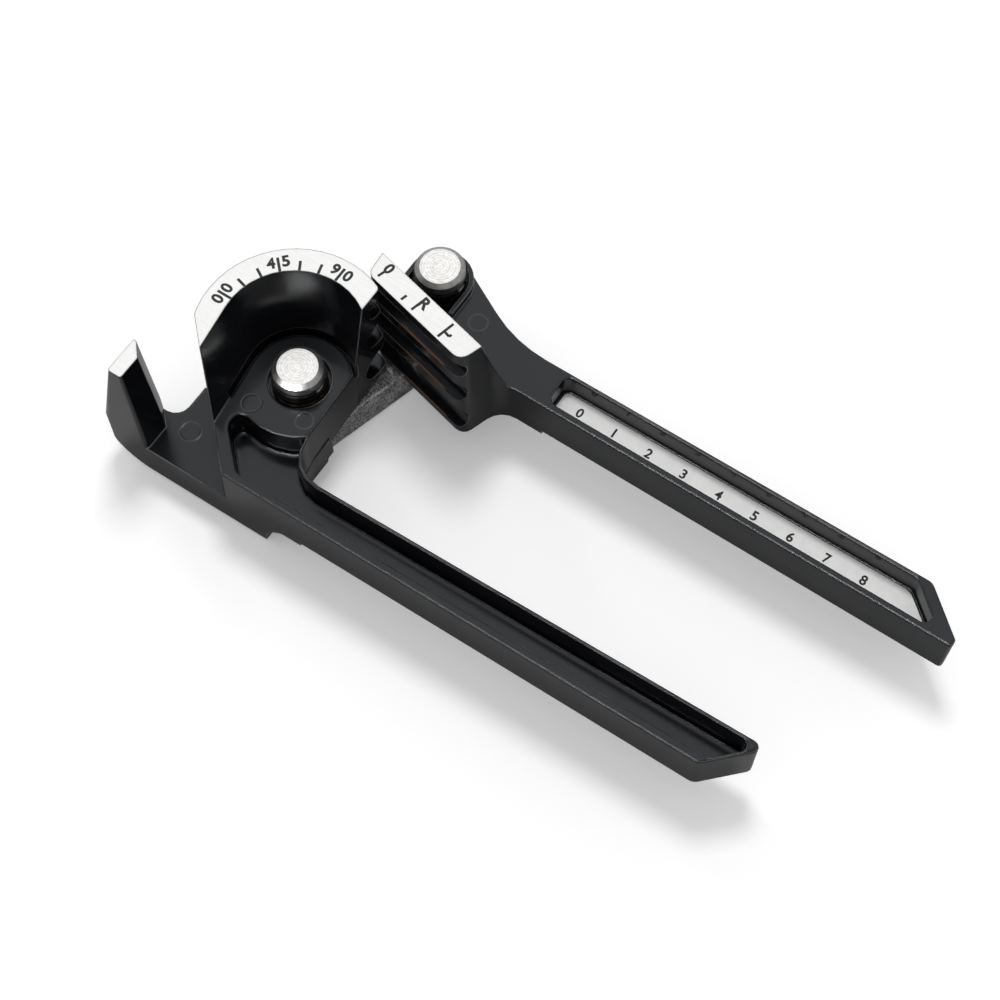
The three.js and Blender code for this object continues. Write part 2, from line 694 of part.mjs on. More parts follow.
// The link bar with its two spigot holes
function linkBar() {
  const right = pinDirection - quarterTurn;
  const left = pinDirection + quarterTurn;
  const outline = roundedOutline([
    ...arcPoints(shoePin, linkHalfWidth, right, left, grooveSteps * 2),
    ...arcPoints(pivot, linkHalfWidth, left, left + Math.PI, grooveSteps * 2),
  ]);
  return [pivot, shoePin].reduce(
    (bar, centre) => bar.subtract(cylinder(spigotRadius + boreGap, -overrun, linkThickness + overrun, centre)),
    stack(outline, plateLevels(0, linkThickness, linkEdgeRound, linkEdgeRound)),
  );
}

// A shouldered pin: spigot through the link, shank through the casting, groove for its ring
function pin() {
  const top = castingBase + pinTop;
  const grooveTop = castingBase + ringTop + ringPlay;
  const grooveBottom = castingBase + ringTop - ringThickness - ringPlay;
  const grooveRadius = pinRadius - ringGrooveDepth;
  return turned([
    [0, 0],
    [spigotRadius - linkEdgeRound, 0],
    [spigotRadius, linkEdgeRound],
    [spigotRadius, castingBase],
    [pinRadius, castingBase],
    [pinRadius, grooveBottom],
    [grooveRadius, grooveBottom],
    [grooveRadius, grooveTop],
    [pinRadius, grooveTop],
    [pinRadius, top - pinChamfer],
    [pinFaceRadius, top],
    [0, top],
  ]);
}

// An open ring of flat section; its height may climb round the turn
function openRing(inner, outer, thickness, opening, climb) {
  const steps = turnSegments / 2;
  const rings = Array.from({ length: steps + 1 }, (_, k) => {
    const turnLeft = 1 - k / steps;
    const angle = opening / 2 + (2 * Math.PI - opening) * turnLeft;
    const base = climb * turnLeft;
    return [[inner, base], [outer, base], [outer, base + thickness], [inner, base + thickness]].map(
      ([radius, height]) => new THREE.Vector3(radius, height, -angle));
  });
  const geometry = loft(rings);
  const places = geometry.getAttribute('position');
  for (let i = 0; i < places.count; i += 1) {
    const radius = places.getX(i);
    const angle = -places.getZ(i);
    places.setXYZ(i, radius * Math.cos(angle), radius * Math.sin(angle), places.getY(i));
  }
  return geometry;
}

function flatWasher() {
  const inner = pinRadius + boreGap / 2;
  return turned([
    [inner, 0],
    [washerOuterRadius, 0],
    [washerOuterRadius, washerThickness],
    [inner, washerThickness],
    [inner, 0],
  ], turnSegments / 2);
}

const blackPaint = { color: 0x1b1c1e, roughness: 0.35, metalness: 0.1 };
const brightSteel = { color: 0xd9d9d6, roughness: 0.25, metalness: 1 };
const darkSteel = { color: 0x3b3c3d, roughness: 0.5, metalness: 0.9 };
const blackOxide = { color: 0x17181a, roughness: 0.45, metalness: 0.8 };
const bronzed = { color: 0x5b4a3a, roughness: 0.4, metalness: 0.9 };

const tool = new THREE.Group();

function place(name, geometry, finish, x, y, z) {
  const mesh = new THREE.Mesh(geometry, new THREE.MeshStandardMaterial(finish));
  mesh.name = name;
  mesh.position.set(x, y, z);
  tool.add(mesh);
}

place('forming_handle', geometryOf(formingHandle()), blackPaint, 0, 0, castingBase);
place('shoe_handle', geometryOf(shoeHandle()), blackPaint, 0, 0, castingBase);
place('link_bar', geometryOf(linkBar()), darkSteel, 0, 0, 0);

const washerBase = castingBase + stackSeat + runningGap;
const springBase = washerBase + washerThickness + runningGap;
const ringBase = castingBase + ringTop - ringThickness;
for (const [side, centre] of [['main', pivot], ['shoe', shoePin]]) {
  place(`${side}_pin`, pin(), brightSteel, centre.x, centre.y, 0);
  place(`${side}_washer`, flatWasher(), bronzed, centre.x, centre.y, washerBase);
  place(`${side}_spring_washer`,
    openRing(pinRadius + boreGap / 2, washerOuterRadius, springThickness, springOpening, springRise),
    blackOxide, centre.x, centre.y, springBase);
  place(`${side}_retaining_ring`,
    openRing(pinRadius - ringGrooveDepth + boreGap / 2, ringOuterRadius, ringThickness, ringOpening, 0),
    blackOxide, centre.x, centre.y, ringBase);
}

export default tool;
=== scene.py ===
import bpy
import bmesh
import math
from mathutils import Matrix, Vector


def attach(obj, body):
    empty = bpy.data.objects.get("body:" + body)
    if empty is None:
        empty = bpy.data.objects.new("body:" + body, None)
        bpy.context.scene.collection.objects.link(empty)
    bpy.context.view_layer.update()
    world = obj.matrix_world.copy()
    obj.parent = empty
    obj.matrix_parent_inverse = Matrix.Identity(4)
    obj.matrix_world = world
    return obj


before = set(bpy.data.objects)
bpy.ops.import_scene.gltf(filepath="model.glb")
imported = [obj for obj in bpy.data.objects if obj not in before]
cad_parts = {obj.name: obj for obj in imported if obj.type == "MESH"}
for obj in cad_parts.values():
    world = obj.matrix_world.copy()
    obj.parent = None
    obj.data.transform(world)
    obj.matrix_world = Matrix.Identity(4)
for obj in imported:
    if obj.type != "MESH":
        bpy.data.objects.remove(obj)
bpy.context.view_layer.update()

mm = 0.001

# places taken from the CAD, in millimetres
topFace = 47.8  # milled tops: dial, shoe plate and hook
shoePin = (12.550, 42.641)
shoeTurn = math.radians(-14)


def linearColour(hexCode):
    # sRGB hex to the linear values that the shader wants
    channels = [int(hexCode[i:i + 2], 16) / 255 for i in (1, 3, 5)]
    return tuple(c / 12.92 if c <= 0.04045 else ((c + 0.055) / 1.055) ** 2.4 for c in channels) + (1.0,)


def addNode(owner, kind, inputs=(), **settings):
    # one node of a material or world; its inputs, by name or in order, are values, sockets, or nodes that
    # give their first output
    node = owner.node_tree.nodes.new("ShaderNode" + kind)
    for name, value in settings.items():
        setattr(node, name, value)
    if not isinstance(inputs, dict):
        inputs = dict(enumerate(inputs))
    for slot, value in inputs.items():
        if isinstance(value, bpy.types.Node):
            value = value.outputs[0]
        if isinstance(value, bpy.types.NodeSocket):
            owner.node_tree.links.new(value, node.inputs[slot])
        else:
            node.inputs[slot].default_value = value
    return node


def noiseScale(blobMm):
    # scale of a noise whose blobs are about this wide
    return 1 / (blobMm * mm)


def newMaterial(name):
    material = bpy.data.materials.new(name)
    material.use_nodes = True
    material.node_tree.nodes.clear()
    return material


def shadedColour(material, tone, look):
    # runs from the look's dark colour to its light one as tone crosses its span
    share = addNode(material, "MapRange", [tone, *look["span"]], interpolation_type="SMOOTHSTEP")
    colours = {0: share, 6: linearColour(look["dark"]), 7: linearColour(look["light"])}
    return addNode(material, "Mix", colours, data_type="RGBA").outputs[2]


def finishMaterial(material, look, relief, inputs):
    # bump over softened edges, then the shader with these inputs and the output
    bump = {"Height": relief, "Strength": look["bump"], "Distance": look["bumpMm"] * mm}
    if "edgeSoftMm" in look:
        bump["Normal"] = addNode(material, "Bevel", {"Radius": look["edgeSoftMm"] * mm}, samples=6)
    normal = addNode(material, "Bump", bump)
    shader = addNode(material, "BsdfPrincipled", {"Normal": normal, **inputs})
    addNode(material, "OutputMaterial", {"Surface": shader})
    return material


# painted highlight: a pale line along the edges of a casting, standing in for the light caught on their
# rounding
edgeHighlightLook = {
    "colour": "#a5a6aa",
    "leanSpan": (0.01, 0.14),  # how far the rounded normal has turned from the face's own
    "cloudSpan": (0.3, 0.6),
    "strength": 0.7,
}


def thinEdges(material, paint, cloud, rounded, high):
    look = edgeHighlightLook
    flat = addNode(material, "NewGeometry").outputs["Normal"]
    match = addNode(material, "VectorMath", [flat, rounded], operation="DOT_PRODUCT").outputs["Value"]
    lean = addNode(material, "Math", [1.0, match], operation="SUBTRACT")
    edge = addNode(material, "MapRange", [lean, *look["leanSpan"]], interpolation_type="SMOOTHSTEP")
    below = addNode(material, "Math", [1.0, high], operation="SUBTRACT")
    edge = addNode(material, "Math", [edge, below], operation="MULTIPLY")
    patches = addNode(material, "MapRange", [cloud, *look["cloudSpan"]], interpolation_type="SMOOTHSTEP")
    highlightLine = addNode(material, "Math", [edge, patches], operation="MULTIPLY")
    share = addNode(material, "Math", [highlightLine, look["strength"]], operation="MULTIPLY")
    # mixes the painted highlight colour in along the edges
    colours = {0: share, 6: paint, 7: linearColour(look["colour"])}
    return addNode(material, "Mix", colours, data_type="RGBA").outputs[2]


# brown lines along the upper edges of the shoe's lands: where they start and end along the shoe's face, how
# deep behind the face they stop, and the half width of a line, full and faded out, in mm
brownLineLook = {
    "colour": "#7a5238",
    "start": (8, 14),
    "end": (25, 27),
    "deep": 27,
    "halfWide": (0.05, 0.32),
}


def rubbedLands(material, paint, place, levels):
    look = brownLineLook
    turned = addNode(material, "Mapping", {"Vector": place, "Rotation": (0, 0, -shoeTurn)})
    split = addNode(material, "SeparateXYZ", [turned])
    along, away, height = (split.outputs[axis] for axis in "XYZ")
    start, end, halfWide = ([size * mm for size in look[key]] for key in ("start", "end", "halfWide"))
    begun = addNode(material, "MapRange", [along, *start], interpolation_type="SMOOTHSTEP")
    left = addNode(material, "MapRange", [along, *end, 1.0, 0.0], interpolation_type="SMOOTHSTEP")
    onLand = addNode(material, "Math", [begun, left], operation="MULTIPLY")
    front = addNode(material, "Math", [away, look["deep"] * mm], operation="LESS_THAN")
    onLand = addNode(material, "Math", [onLand, front], operation="MULTIPLY")
    for level in levels:
        off = addNode(material, "Math", [height, level * mm], operation="SUBTRACT")
        off = addNode(material, "Math", [off], operation="ABSOLUTE")
        line = addNode(material, "MapRange", [off, *halfWide, 1.0, 0.0], interpolation_type="SMOOTHSTEP")
        brownShare = addNode(material, "Math", [line, onLand], operation="MULTIPLY")
        colours = {0: brownShare, 6: paint, 7: linearColour(look["colour"])}
        paint = addNode(material, "Mix", colours, data_type="RGBA").outputs[2]
    return paint


# ejector pins left shallow round marks, whose rims show through the paint
markRimLook = {"colour": "#4a4b50", "pale": 0.4, "depth": 0.45, "wideMm": 0.42}


def ejectorRims(material, paint, relief, place, marks):
    look = markRimLook
    height = addNode(material, "SeparateXYZ", [place]).outputs["Z"]
    flat = addNode(material, "VectorMath", [place, (1, 1, 0)], operation="MULTIPLY")
    wide = look["wideMm"] * mm
    for x, y, radius, level, reach in marks:
        middle = (x * mm, y * mm, 0)
        away = addNode(material, "VectorMath", [flat, middle], operation="DISTANCE").outputs["Value"]
        rim = addNode(material, "Math", [away, radius * mm], operation="SUBTRACT")
        rim = addNode(material, "Math", [rim], operation="ABSOLUTE")
        ring = addNode(material, "MapRange", [rim, 0.0, wide, 1.0, 0.0], interpolation_type="SMOOTHSTEP")
        onFloor = addNode(material, "Math", [height, level * mm, reach * mm], operation="COMPARE")
        here = addNode(material, "Math", [ring, onFloor], operation="MULTIPLY")
        relief = addNode(material, "Math", [here, -look["depth"], relief], operation="MULTIPLY_ADD")
        pale = addNode(material, "Math", [here, look["pale"]], operation="MULTIPLY")
        colours = {0: pale, 6: paint, 7: linearColour(look["colour"])}
        paint = addNode(material, "Mix", colours, data_type="RGBA").outputs[2]
    return paint, relief


# tops milled bare once the casting was painted, inside a thin painted edge
milledLook = {
    "dark": "#eeefed",
    "light": "#f6f6f4",
    "span": (0.35, 0.65),
    "cutMm": 0.06,  # bare metal reaches this far below the top face
    "facingUp": (0.8, 0.9),
    "paintedEdgeMm": 0.6,
    "lineMm": 0.35,
    "lineStretch": 0.06,  # how much the pattern is drawn out along the lines: 1 is not at all
    "grainMm": 0.6,
    "grainShare": 0.4,
    "lineHeight": 0.03,
    "roughness": 0.32,  # over that of the paint
    "metallic": 0.25,
}


def milledTops(material, place, lineTurn):
    # an end mill leaves pale metal in fine straight lines, a fraction of a millimetre apart
    look = milledLook
    turned = addNode(material, "Mapping", {
        "Vector": place, "Rotation": (0, 0, lineTurn), "Scale": (look["lineStretch"], 1.0, 1.0),
    })
    lines = addNode(material, "TexNoise", {
        "Vector": turned, "Scale": noiseScale(look["lineMm"]), "Detail": 4.0,
    })
    grain = addNode(material, "TexNoise", {
        "Vector": place, "Scale": noiseScale(look["grainMm"]), "Detail": 3.0, "Roughness": 0.6,
    })
    tone = addNode(material, "Mix", {0: look["grainShare"], 2: lines, 3: grain})
    return shadedColour(material, tone, look), lines


# gloss black paint, sprayed over a die casting
paintLook = {
    "dark": "#0f1013",
    "light": "#141519",
    "span": (0.45, 0.75),
    "sheen": "#f7faff",
    "cloudMm": 22.0,  # the paint goes from dark to light over this
    "peelMm": 1.6,
    "peelHeight": 0.035,
    "dustMm": 0.35,
    "dustHeight": 0.03,
    "smearMm": 9.0,
    "smearSpan": (0.35, 0.75),
    "smearRoughness": 0.08,
    "roughness": 0.15,
    "ior": 1.42,
    "bump": 0.55,
    "bumpMm": 0.2,
    "edgeSoftMm": 0.8,
}


def paintedCasting(name, casting):
    # sprayed paint is deep and glossy, with faint orange peel, a little dust in it and smears from handling
    look = paintLook
    material = newMaterial(name)
    place = addNode(material, "TexCoord").outputs["Object"]
    height = addNode(material, "SeparateXYZ", [place]).outputs["Z"]
    rounded = addNode(material, "Bevel", {"Radius": milledLook["paintedEdgeMm"] * mm}, samples=8)
    facing = addNode(material, "SeparateXYZ", [rounded]).outputs["Z"]
    cut = (topFace - milledLook["cutMm"]) * mm
    high = addNode(material, "Math", [height, cut], operation="GREATER_THAN")
    up = addNode(material, "MapRange", [facing, *milledLook["facingUp"]], interpolation_type="SMOOTHSTEP")
    bare = addNode(material, "Math", [high, up], operation="MULTIPLY")

    cloud = addNode(material, "TexNoise", {
        "Vector": place, "Scale": noiseScale(look["cloudMm"]), "Detail": 3.0,
    })
    paint = shadedColour(material, cloud, look)
    # painted highlight: pale lines along the casting's edges
    paint = thinEdges(material, paint, cloud, rounded, high)
    # brown lines along the upper edges of the shoe's lands
    if casting["brownLineLevels"]:
        paint = rubbedLands(material, paint, place, casting["brownLineLevels"])

    peel = addNode(material, "TexNoise", {
        "Vector": place, "Scale": noiseScale(look["peelMm"]), "Detail": 3.0,
    })
    dust = addNode(material, "TexNoise", {"Vector": place, "Scale": noiseScale(look["dustMm"])})
    relief = addNode(material, "Math", [dust, look["dustHeight"]], operation="MULTIPLY")
    relief = addNode(material, "Math", [peel, look["peelHeight"], relief], operation="MULTIPLY_ADD")
    paint, relief = ejectorRims(material, paint, relief, place, casting["ejectorMarks"])

    milled, lines = milledTops(material, place, math.radians(casting["lineDegrees"]))
    colour = addNode(material, "Mix", {0: bare, 6: paint, 7: milled}, data_type="RGBA").outputs[2]
    scratches = addNode(material, "Math", [bare, milledLook["lineHeight"]], operation="MULTIPLY")
    relief = addNode(material, "Math", [lines, scratches, relief], operation="MULTIPLY_ADD")

    streaks = addNode(material, "TexNoise", {
        "Vector": place, "Scale": noiseScale(look["smearMm"]), "Detail": 4.0,
    })
    smear = addNode(material, "MapRange", [streaks, *look["smearSpan"]], interpolation_type="SMOOTHSTEP")
    smeared = [smear, look["smearRoughness"], look["roughness"]]
    gloss = addNode(material, "Math", smeared, operation="MULTIPLY_ADD")
    gloss = addNode(material, "Math", [bare, milledLook["roughness"], gloss], operation="MULTIPLY_ADD")
    metal = addNode(material, "Math", [bare, milledLook["metallic"]], operation="MULTIPLY")
    return finishMaterial(material, look, relief, {
        "Base Color": colour,
        "Roughness": gloss,
        "Metallic": metal,
        "IOR": look["ior"],
        "Specular Tint": linearColour(look["sheen"]),
    })


# bright steel pins, turned on a lathe
pinLook = {
    "dark": "#c2c1bf",
    "light": "#e6e5e3",
    "span": (0.25, 0.75),
    "ringMm": 0.75,  # coarser than a lathe cuts, so that the rings show
    "ringTone": 0.09,
    "ringHeight": 0.25,
    "mottleMm": 0.9,
    "mottleRoughness": 0.16,
    "driftMm": 0.5,
    "roughness": 0.24,
    "bump": 0.3,
    "bumpMm": 0.05,
    "edgeSoftMm": 0.18,
}


def turnedSteel(name, centre):
    # turning leaves rings about the pin's own axis, on its face and down its shank
    look = pinLook
    material = newMaterial(name)
    place = addNode(material, "TexCoord").outputs["Object"]
    height = addNode(material, "SeparateXYZ", [place]).outputs["Z"]
    flat = addNode(material, "VectorMath", [place, (1, 1, 0)], operation="MULTIPLY")
    axis = (centre[0] * mm, centre[1] * mm, 0)
    radius = addNode(material, "VectorMath", [flat, axis], operation="DISTANCE").outputs["Value"]
    reach = addNode(material, "Math", [radius, height], operation="ADD")
    turns = addNode(material, "Math", [reach, 2 * math.pi / (look["ringMm"] * mm)], operation="MULTIPLY")
    rings = addNode(material, "Math", [turns], operation="SINE")
    mottle = addNode(material, "TexNoise", {
        "Vector": place, "Scale": noiseScale(look["mottleMm"]), "Detail": 4.0, "Roughness": 0.65,
    })
    drift = addNode(material, "TexNoise", {
        "Vector": place, "Scale": noiseScale(look["driftMm"]), "Detail": 3.0,
    })
    tone = addNode(material, "Math", [rings, look["ringTone"], mottle], operation="MULTIPLY_ADD")
    relief = addNode(material, "Math", [rings, look["ringHeight"], drift], operation="MULTIPLY_ADD")
    mottled = [mottle, look["mottleRoughness"], look["roughness"]]
    gloss = addNode(material, "Math", mottled, operation="MULTIPLY_ADD")
    return finishMaterial(material, look, relief, {
        "Base Color": shadedColour(material, tone, look), "Roughness": gloss, "Metallic": 1.0,
    })


# dark link bar: steel, blasted and thinly blackened
linkLook = {
    "dark": "#747576",
    "light": "#e0e1e0",
    "span": (0.42, 0.6),
    "grainMm": 0.5,
    "patchMm": 6.0,
    "patchShare": 0.3,
    "roughness": 0.36,
    "metallic": 0.8,
    "bump": 0.5,
    "bumpMm": 0.12,
    "edgeSoftMm": 0.3,
}


def blastedSteel(name):
    # blasting leaves an even grain that sparkles a little where the finish is thin
    look = linkLook
    material = newMaterial(name)
    place = addNode(material, "TexCoord").outputs["Object"]
    grain = addNode(material, "TexNoise", {
        "Vector": place, "Scale": noiseScale(look["grainMm"]), "Detail": 3.0, "Roughness": 0.6,
    })
    patch = addNode(material, "TexNoise", {
        "Vector": place, "Scale": noiseScale(look["patchMm"]), "Detail": 3.0,
    })
    tone = addNode(material, "Mix", {0: look["patchShare"], 2: grain, 3: patch})
    return finishMaterial(material, look, grain, {
        "Base Color": shadedColour(material, tone, look),
        "Roughness": look["roughness"],
        "Metallic": look["metallic"],
    })


# small stamped rings: black oxide on the rings, dark bronze on the washers
ringTones = {
    "blackOxide": {"dark": "#0f1011", "light": "#2a2b2c", "roughness": 0.34},
    "darkBronze": {"dark": "#1d140e", "light": "#58402c", "roughness": 0.36},
}
ringLook = {
    "span": (0.4, 0.7),
    "patchMm": 1.4,
    "patchRoughness": 0.15,
    "fineMm": 0.25,
    "metallic": 0.85,
    "bump": 0.25,
    "bumpMm": 0.04,
    "edgeSoftMm": 0.12,
}


def stampedMetal(name):
    # oxide is even and slightly oily; the bronze shows brown through it in patches
    look = {**ringLook, **ringTones[name]}
    material = newMaterial(name)
    place = addNode(material, "TexCoord").outputs["Object"]
    patch = addNode(material, "TexNoise", {
        "Vector": place, "Scale": noiseScale(look["patchMm"]), "Detail": 4.0, "Roughness": 0.6,
    })
    fine = addNode(material, "TexNoise", {"Vector": place, "Scale": noiseScale(look["fineMm"])})
    patchy = [patch, look["patchRoughness"], look["roughness"]]
    gloss = addNode(material, "Math", patchy, operation="MULTIPLY_ADD")
    return finishMaterial(material, look, fine, {
        "Base Color": shadedColour(material, patch, look), "Roughness": gloss, "Metallic": look["metallic"],
    })


# black ink in the marks stamped into the tops, and of the numbers printed on the strip
inkLook = {
    "dark": "#121213",
    "light": "#2b2b2c",
    "span": (0.5, 0.75),
    "speckMm": 0.3,
    "roughness": 0.55,
    "bump": 0.3,
    "bumpMm": 0.03,
}


def filledInk(name):
    # ink wiped into a stamped line is matt and a little uneven
    look = inkLook
    material = newMaterial(name)
    place = addNode(material, "TexCoord").outputs["Object"]
    speck = addNode(material, "TexNoise", {
        "Vector": place, "Scale": noiseScale(look["speckMm"]), "Detail": 3.0, "Roughness": 0.6,
    })
    return finishMaterial(material, look, speck, {
        "Base Color": shadedColour(material, speck, look), "Roughness": look["roughness"],
    })


# pale vinyl of the strip
vinylLook = {
    "dark": "#f5f5f4",
    "light": "#fcfcfb",
    "span": (0.35, 0.7),
    "mottleMm": 2.5,
    "roughness": 0.38,
    "bump": 0.08,
    "bumpMm": 0.05,
}


def printedVinyl(name):
    # calendered vinyl is smooth and satin, with a faint mottle from the glue below
    look = vinylLook
    material = newMaterial(name)
    place = addNode(material, "TexCoord").outputs["Object"]
    mottle = addNode(material, "TexNoise", {
        "Vector": place, "Scale": noiseScale(look["mottleMm"]), "Detail": 3.0,
    })
    return finishMaterial(material, look, mottle, {
        "Base Color": shadedColour(material, mottle, look), "Roughness": look["roughness"],
    })


# for each casting: the way of its cutter lines, its ejector marks as x, y, radius, level and how far from
# that level they show, and the levels of its brown lines, in mm
formingCasting = {
    "lineDegrees": 38,
    "ejectorMarks": [
        (-6.0, -11.7, 2.4, 26.0, 0.6),
        (7.6, -8.6, 2.2, 26.0, 0.6),
        (-19.6, -21.4, 2.7, 12.5, 0.5),
    ],
    "brownLineLevels": [],
}
shoeCasting = {
    "lineDegrees": 60,
    "ejectorMarks": [(26.9, 38.1, 2.4, 25.0, 0.5)],
    "brownLineLevels": [37.95, 26.51, 12.98],
}

ink = filledInk("filledInk")
vinyl = printedVinyl("printedVinyl")
oxide = stampedMetal("blackOxide")
bronze = stampedMetal("darkBronze")
nodeFinish = {
    "forming_handle": paintedCasting("blackPaintForming", formingCasting),
    "shoe_handle": paintedCasting("blackPaintShoe", shoeCasting),
    "link_bar": blastedSteel("blastedSteelLink"),
    "main_pin": turnedSteel("turnedSteelMain", (0, 0)),
    "shoe_pin": turnedSteel("turnedSteelShoe", shoePin),
    "main_washer": bronze,
    "shoe_washer": bronze,
    "main_spring_washer": oxide,
    "shoe_spring_washer": oxide,
    "main_retaining_ring": oxide,
    "shoe_retaining_ring": oxide,
}

# joins the CAD's loose triangles, clears the lines inside flat faces and keeps edges crisp
meshFinish = {"weldMm": 0.002, "flatDegrees": 0.5, "edgeDegrees": 26, "faceWeight": 100}

for node, material in nodeFinish.items():
    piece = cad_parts[node]
    piece.data.materials.clear()
    piece.data.materials.append(material)
    piece.data.polygons.foreach_set("use_smooth", [True] * len(piece.data.polygons))
    weld = piece.modifiers.new("weld", "WELD")
    weld.merge_threshold = meshFinish["weldMm"] * mm
    plain = piece.modifiers.new("plainFaces", "DECIMATE")
    plain.decimate_type = "DISSOLVE"
    plain.angle_limit = math.radians(meshFinish["flatDegrees"])
    crisp = piece.modifiers.new("edges", "EDGE_SPLIT")
    crisp.split_angle = math.radians(meshFinish["edgeDegrees"])
    crisp.use_edge_sharp = False
    normals = piece.modifiers.new("normals", "WEIGHTED_NORMAL")
    normals.weight = meshFinish["faceWeight"]
    normals.keep_sharp = True
print("castings, link, pins and rings finished")

# how finely letters curve, and how round the ends of lines are
markShape = {"curveSteps": 6, "cornerShare": 0.3, "cornerSteps": 2}


def glyph(text, middle, wide, tall, turn, top, thick, weight):
    # one character, tall and at most wide in mm over its strokes, which weight makes heavier
    bpy.ops.object.select_all(action="DESELECT")
    bpy.ops.object.text_add()
    letter = bpy.context.object
    letter.data.body = text
    letter.data.size = tall * mm
    letter.data.extrude = thick * mm / 2
    letter.data.offset = weight * mm
    letter.data.resolution_u = markShape["curveSteps"]
    bpy.ops.object.convert(target="MESH")
    letter = bpy.context.object
    across = [vertex.co.x for vertex in letter.data.vertices]
    along = [vertex.co.y for vertex in letter.data.vertices]
    letter.location = (-(min(across) + max(across)) / 2, -(min(along) + max(along)) / 2, 0)
    bpy.ops.object.transform_apply(location=True)
    grow = tall * mm / (max(along) - min(along))
    letter.scale = (min(grow, wide * mm / (max(across) - min(across))), grow, 1)
    letter.rotation_euler = (0, 0, turn)
    letter.location = (middle[0] * mm, middle[1] * mm, (top - thick / 2) * mm)
    bpy.ops.object.transform_apply(location=True, rotation=True, scale=True)
    return letter


def stroke(startPoint, endPoint, wide, top, thick):
    # one straight line of ink with softened corners
    begin, finish = Vector(startPoint), Vector(endPoint)
    middle = (begin + finish) / 2
    bpy.ops.object.select_all(action="DESELECT")
    bpy.ops.mesh.primitive_cube_add(
        size=1, location=(middle.x * mm, middle.y * mm, top * mm - thick * mm / 2),
    )
    bar = bpy.context.object
    bar.scale = ((finish - begin).length * mm, wide * mm, thick * mm)
    bar.rotation_euler = (0, 0, math.atan2(finish.y - begin.y, finish.x - begin.x))
    bpy.ops.object.transform_apply(location=True, rotation=True, scale=True)
    bpy.ops.object.mode_set(mode="EDIT")
    bpy.ops.mesh.select_all(action="DESELECT")
    mesh = bmesh.from_edit_mesh(bar.data)
    for edge in mesh.edges:
        span = edge.verts[0].co - edge.verts[1].co
        edge.select = abs(span.z) > max(abs(span.x), abs(span.y))
    bmesh.update_edit_mesh(bar.data)
    bpy.ops.mesh.bevel(offset=wide * mm * markShape["cornerShare"], segments=markShape["cornerSteps"])
    bpy.ops.object.mode_set(mode="OBJECT")
    return bar


def joined(parts, name, material):
    bpy.ops.object.select_all(action="DESELECT")
    for part in parts:
        part.select_set(True)
    bpy.context.view_layer.objects.active = parts[0]
    if len(parts) > 1:
        bpy.ops.object.join()
    piece = bpy.context.object
    piece.name = name
    piece.data.name = name
    piece.data.materials.clear()
    piece.data.materials.append(material)
    return piece


# degree marks on the forming head's top, 0 on the left and 90 at the back, in mm; a label stands with one
# digit on each side of its line
dial = {
    "innerRadius": 17.6,
    "shortReach": 2.7,
    "longReach": 4.0,
    "step": 15,
    "last": 90,
    "lineWide": 0.7,
    "digitRadius": 20.3,
    "digitWide": 2.1,
    "digitTall": 3.2,
    "digitApart": 1.8,
    "digitWeight": 0.12,
    "thick": 0.06,
    "proud": 0.02,  # the ink stands this much over the top, so that it shows
    "labels": {0: "00", 45: "45", 90: "90"},
}
markTop = topFace + dial["proud"]
parts = []
for degrees in range(0, dial["last"] + 1, dial["step"]):
    angle = math.pi - math.radians(degrees)
    outward = Vector((math.cos(angle), math.sin(angle)))
    reach = dial["longReach"] if degrees in dial["labels"] else dial["shortReach"]
    parts.append(stroke(outward * dial["innerRadius"], outward * (dial["innerRadius"] + reach),
                        dial["lineWide"], markTop, dial["thick"]))
for degrees, text in dial["labels"].items():
    angle = math.pi - math.radians(degrees)
    outward = Vector((math.cos(angle), math.sin(angle)))
    clockwise = Vector((outward.y, -outward.x))
    for side, digit in zip((-1, 1), text):
        spot = outward * dial["digitRadius"] + clockwise * side * dial["digitApart"]
        parts.append(glyph(digit, spot, dial["digitWide"], dial["digitTall"], angle - math.pi / 2,
                           markTop, dial["thick"], dial["digitWeight"]))
dialMarks = joined(parts, "dial_marks", ink)
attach(dialMarks, "forming_lever")
print("dial marks made")

# reading marks on the shoe's top: lines from point to point, and characters with their middle, width and
# height, all in mm along the shoe's face and away from it
shoeMarks = {
    "lineWide": 0.68,
    "thick": 0.06,
    "proud": 0.02,
    "weight": 0.13,
    "lines": [
        ((1.6, 25.4), (1.75, 27.35)),
        ((10.25, 25.15), (10.3, 26.9)),
        ((14.0, 25.1), (14.0, 27.1)),
        ((23.65, 24.8), (23.65, 29.8)),
        ((23.9, 26.85), (25.5, 26.75)),
        ((25.45, 26.7), (25.55, 27.5)),
    ],
    "characters": [("0", (1.9, 28.75), 2.3, 3.1), ("R", (15.05, 28.5), 2.7, 3.2)],
}


def onShoe(along, away):
    return Vector((
        along * math.cos(shoeTurn) - away * math.sin(shoeTurn),
        along * math.sin(shoeTurn) + away * math.cos(shoeTurn),
    ))


shoeTop = topFace + shoeMarks["proud"]
parts = []
for begin, end in shoeMarks["lines"]:
    parts.append(stroke(onShoe(*begin), onShoe(*end), shoeMarks["lineWide"], shoeTop, shoeMarks["thick"]))
for text, middle, wide, tall in shoeMarks["characters"]:
    parts.append(glyph(text, onShoe(*middle), wide, tall, shoeTurn, shoeTop,
                       shoeMarks["thick"], shoeMarks["weight"]))
shoeReading = joined(parts, "shoe_marks", ink)
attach(shoeReading, "shoe_lever")
print("shoe marks made")

# pale strip on the floor of the shoe lever's channel, with a row of plain numbers, in mm
strip = {
    "floor": 18.35,
    "thick": 0.16,
    "outline": [(54.0, 29.85), (159.2, 28.6), (150.5, 36.2), (54.0, 36.85)],
    "cornerRound": 1.3,
    "cornerSteps": 4,
    "printThick": 0.05,
    "printProud": 0.02,
    "numberWide": 1.7,
    "numberTall": 2.7,
    "numberWeight": 0.07,
    "firstNumber": 60.0,
    "numberStep": 10.0,
    "numbers": 9,
    "numberLine": 33.6,
    "numberSlope": 0.012,
}

